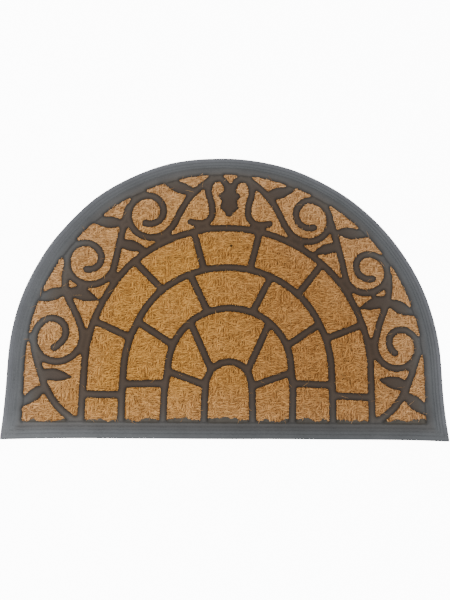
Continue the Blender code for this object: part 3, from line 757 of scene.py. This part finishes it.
def strandTree():
    tree = bpy.data.node_groups.new("coir strands", "GeometryNodeTree")
    face = tree.interface
    face.new_socket("Geometry", in_out="INPUT", socket_type="NodeSocketGeometry")
    for label in ("Spacing", "Length", "Width", "Flatness", "Arch", "Lift", "Jitter", "Tilt"):
        face.new_socket(label, in_out="INPUT", socket_type="NodeSocketFloat")
    face.new_socket("Seed", in_out="INPUT", socket_type="NodeSocketInt")
    face.new_socket("Material", in_out="INPUT", socket_type="NodeSocketMaterial")
    face.new_socket("Geometry", in_out="OUTPUT", socket_type="NodeSocketGeometry")
    given = addNode(tree, "NodeGroupInput").outputs
    openShare, weaveTurn = (
        addNode(tree, "GeometryNodeInputNamedAttribute", {"data_type": "FLOAT"}, {"Name": name}).outputs[0]
        for name in ("openShare", "weaveTurn")
    )
    strewn = addNode(
        tree, "GeometryNodeDistributePointsOnFaces", {"distribute_method": "POISSON"},
        {"Density Max": strand["densest"]},
        {"Mesh": given["Geometry"], "Distance Min": given["Spacing"], "Density Factor": openShare,
         "Seed": given["Seed"]},
    ).outputs["Points"]

    def randomValue(kind, least, most, seed):
        return addNode(
            tree, "FunctionNodeRandomValue", {"data_type": kind},
            {0: least, 1: most, 8: seed} if kind == "FLOAT_VECTOR" else {2: least, 3: most, 8: seed},
        ).outputs[0 if kind == "FLOAT_VECTOR" else 1]

    def product(first, second):
        links = {0: first, 1: second}
        return addNode(tree, "ShaderNodeMath", {"operation": "MULTIPLY"}, None, links).outputs[0]

    # one strand along X, arched upwards and narrower at its tips
    back, half = (
        addNode(
            tree, "ShaderNodeMath", {"operation": "MULTIPLY"}, {1: share}, {0: given["Length"]},
        ).outputs[0]
        for share in (-0.5, 0.5)
    )
    start = addNode(tree, "ShaderNodeCombineXYZ", None, None, {"X": back}).outputs[0]
    end = addNode(tree, "ShaderNodeCombineXYZ", None, None, {"X": half}).outputs[0]
    middle = addNode(tree, "ShaderNodeCombineXYZ", None, None, {"Z": given["Arch"]}).outputs[0]
    line = addNode(
        tree, "GeometryNodeCurveQuadraticBezier", None, {"Resolution": 3},
        {"Start": start, "Middle": middle, "End": end},
    ).outputs[0]
    ring = addNode(
        tree, "GeometryNodeCurvePrimitiveCircle", None, {"Resolution": 3}, {"Radius": given["Width"]},
    ).outputs[0]
    way = addNode(tree, "GeometryNodeSplineParameter").outputs["Factor"]
    tipWay = addNode(tree, "ShaderNodeMath", {"operation": "PINGPONG"}, {1: 0.5}, {0: way}).outputs[0]
    tipReach, tipScale, fullScale = strand["tip"]
    taper = addNode(
        tree, "ShaderNodeMapRange", {"interpolation_type": "SMOOTHSTEP"},
        {"From Min": 0.0, "From Max": tipReach, "To Min": tipScale, "To Max": fullScale}, {"Value": tipWay},
    ).outputs["Result"]
    fibre = addNode(
        tree, "GeometryNodeCurveToMesh", None, {"Fill Caps": True},
        {"Curve": line, "Profile Curve": ring, "Scale": taper},
    ).outputs[0]

    # each one turned, sized and lifted by chance
    swing = addNode(
        tree, "ShaderNodeMath", {"operation": "MULTIPLY_ADD"}, None,
        {0: randomValue("FLOAT", -1.0, 1.0, 11), 1: given["Jitter"], 2: weaveTurn},
    ).outputs[0]
    dip = product(randomValue("FLOAT", -1.0, 1.0, 12), given["Tilt"])
    turns = addNode(tree, "ShaderNodeCombineXYZ", None, None, {"Y": dip, "Z": swing}).outputs[0]
    turned = addNode(tree, "FunctionNodeEulerToRotation", None, None, {0: turns}).outputs[0]
    flattened = addNode(
        tree, "ShaderNodeCombineXYZ", None, {"X": 1.0, "Y": 1.0}, {"Z": given["Flatness"]},
    ).outputs[0]
    size = addNode(
        tree, "ShaderNodeVectorMath", {"operation": "MULTIPLY"}, None,
        {0: randomValue("FLOAT_VECTOR", *strand["sizes"], 13), 1: flattened},
    ).outputs[0]
    lift = product(randomValue("FLOAT", *strand["lifts"], 14), given["Lift"])
    upwards = addNode(tree, "ShaderNodeCombineXYZ", None, None, {"Z": lift}).outputs[0]
    raised = addNode(
        tree, "GeometryNodeSetPosition", None, None, {"Geometry": strewn, "Offset": upwards},
    ).outputs[0]
    placed = addNode(
        tree, "GeometryNodeInstanceOnPoints", None, None,
        {"Points": raised, "Instance": fibre, "Rotation": turned, "Scale": size},
    ).outputs[0]
    toned = addNode(
        tree, "GeometryNodeStoreNamedAttribute", {"data_type": "FLOAT", "domain": "INSTANCE"},
        {"Name": "strawTone"}, {"Geometry": placed, "Value": randomValue("FLOAT", 0.0, 1.0, 15)},
    ).outputs[0]
    real = addNode(tree, "GeometryNodeRealizeInstances", None, None, {"Geometry": toned}).outputs[0]
    smooth = addNode(tree, "GeometryNodeSetShadeSmooth", None, None, {"Geometry": real}).outputs[0]
    dressed = addNode(
        tree, "GeometryNodeSetMaterial", None, None, {"Geometry": smooth, "Material": given["Material"]},
    ).outputs[0]
    addNode(tree, "NodeGroupOutput", None, None, {0: dressed})
    return tree


def strandPiece(tree, base, kind, layer, material):
    carrier = base.copy()
    carrier.data = base.data.copy()
    bpy.context.scene.collection.objects.link(carrier)
    modifier = carrier.modifiers.new("strands", "NODES")
    modifier.node_group = tree
    sockets = {item.name: item.identifier for item in tree.interface.items_tree if item.in_out == "INPUT"}
    for label, socket in sockets.items():
        if label in kind:
            modifier[socket] = kind[label] * mm if label in lengthInputs else kind[label]
    modifier[sockets["Seed"]] = kind["seed"] + layer * layerSeed
    modifier[sockets["Material"]] = material
    evaluated = carrier.evaluated_get(bpy.context.evaluated_depsgraph_get())
    mesh = bpy.data.meshes.new_from_object(evaluated)
    name = f"{kind['name']}_{layer + 1}"
    mesh.name = name
    piece = bpy.data.objects.new(name, mesh)
    bpy.context.scene.collection.objects.link(piece)
    bpy.data.objects.remove(carrier)
    print(name, "triangles", triangleCount(piece))
    return piece


rubberMat, edges = rubberPiece(rubberMaterial())
print("rubber triangles", triangleCount(rubberMat))
coirYarn = coirMaterial("spun coir yarn", *coir["yarnTones"])
coirHair = coirMaterial("loose coir hair", *coir["hairTones"])
coirWeave, coirArea = coirPiece(coirYarn, edges)
print("coir triangles", triangleCount(coirWeave))
tree = strandTree()
carriers = {
    "coir_strands": (coirWeave, coirYarn),
    "coir_hairs": (coirWeave, coirHair),
    "stray_hairs": (rubberMat, coirHair),
}
strands = []
for kind in strandKinds:
    base, material = carriers[kind["name"]]
    for layer in range(kind["layers"]):
        strands.append(strandPiece(tree, base, kind, layer, material))

for piece in [rubberMat, coirWeave, *strands]:
    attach(piece, "root")
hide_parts("rubber_moulding")
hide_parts("coir_sheet")


# Stage: a white sheet swept up into a bowl round the mat, under soft light that is strongest from the left
stage = {
    "floor": -0.3,
    "bowl": [(2500.0, -0.3), (3400.0, 160.0), (4000.0, 700.0), (4200.0, 1600.0), (4300.0, 4500.0)],
    "sides": 64,
    "paper": "#ffffff",
    "glow": 11.0,  # makes the paper render white
    "sky": 0.75,
    "skyTone": (0.93, 0.96, 1.0, 1.0),  # linear
    "lights": [  # name, place, size and power
        ("key", (-650.0, -200.0, 1200.0), 900.0, 15.2),
        ("fill", (900.0, 400.0, 1300.0), 1000.0, 5.4),
    ],
}

camera = {
    "place": (-87.1, -200.1, 1015.4),
    "turn": (10.634, -4.604, 0.293),  # degrees about X, Y and Z
    "lens": 44.18,
    "sensor": 36.0,
}


def layStage():
    paper, _, shader = newMaterial("white studio paper", roughness=0.9, specular=0.1)
    shader.inputs["Base Color"].default_value = linearColour(stage["paper"])
    shader.inputs["Emission Color"].default_value = linearColour(stage["paper"])
    shader.inputs["Emission Strength"].default_value = stage["glow"]
    points = [(0.0, 0.0, stage["floor"])]
    faces = []
    sides = stage["sides"]
    for ring, (radius, height) in enumerate(stage["bowl"]):
        angles = [2 * math.pi * side / sides for side in range(sides)]
        points += [(radius * math.cos(angle), radius * math.sin(angle), height) for angle in angles]
        for side in range(sides):
            here, after = 1 + ring * sides + side, 1 + ring * sides + (side + 1) % sides
            faces.append((0, here, after) if ring == 0 else (here - sides, here, after, after - sides))
    bowl = newPiece("floor", points, faces, paper)
    bowl.visible_diffuse = False  # its glow lights nothing, so the lamps alone shape the mat
    bowl.visible_glossy = False
    bowl.visible_shadow = False


def placeLights():
    world = bpy.data.worlds.new("studio")
    world.use_nodes = True
    world.node_tree.nodes["Background"].inputs["Color"].default_value = stage["skyTone"]
    world.node_tree.nodes["Background"].inputs["Strength"].default_value = stage["sky"]
    bpy.context.scene.world = world
    for name, place, size, power in stage["lights"]:
        light = bpy.data.lights.new(name, "AREA")
        light.energy = power
        light.size = size * mm
        lamp = bpy.data.objects.new(name, light)
        lamp.location = Vector(place) * mm
        lamp.rotation_euler = (-lamp.location).to_track_quat("-Z", "Y").to_euler()
        bpy.context.scene.collection.objects.link(lamp)


def placeCamera():
    lens = bpy.data.cameras.new("camera")
    lens.sensor_width = camera["sensor"]
    lens.lens = camera["lens"]
    view = bpy.data.objects.new("camera", lens)
    view.location = Vector(camera["place"]) * mm
    view.rotation_euler = [math.radians(angle) for angle in camera["turn"]]
    bpy.context.scene.collection.objects.link(view)
    bpy.context.scene.camera = view


layStage()
placeLights()
placeCamera()
print("stage, lights and camera placed")
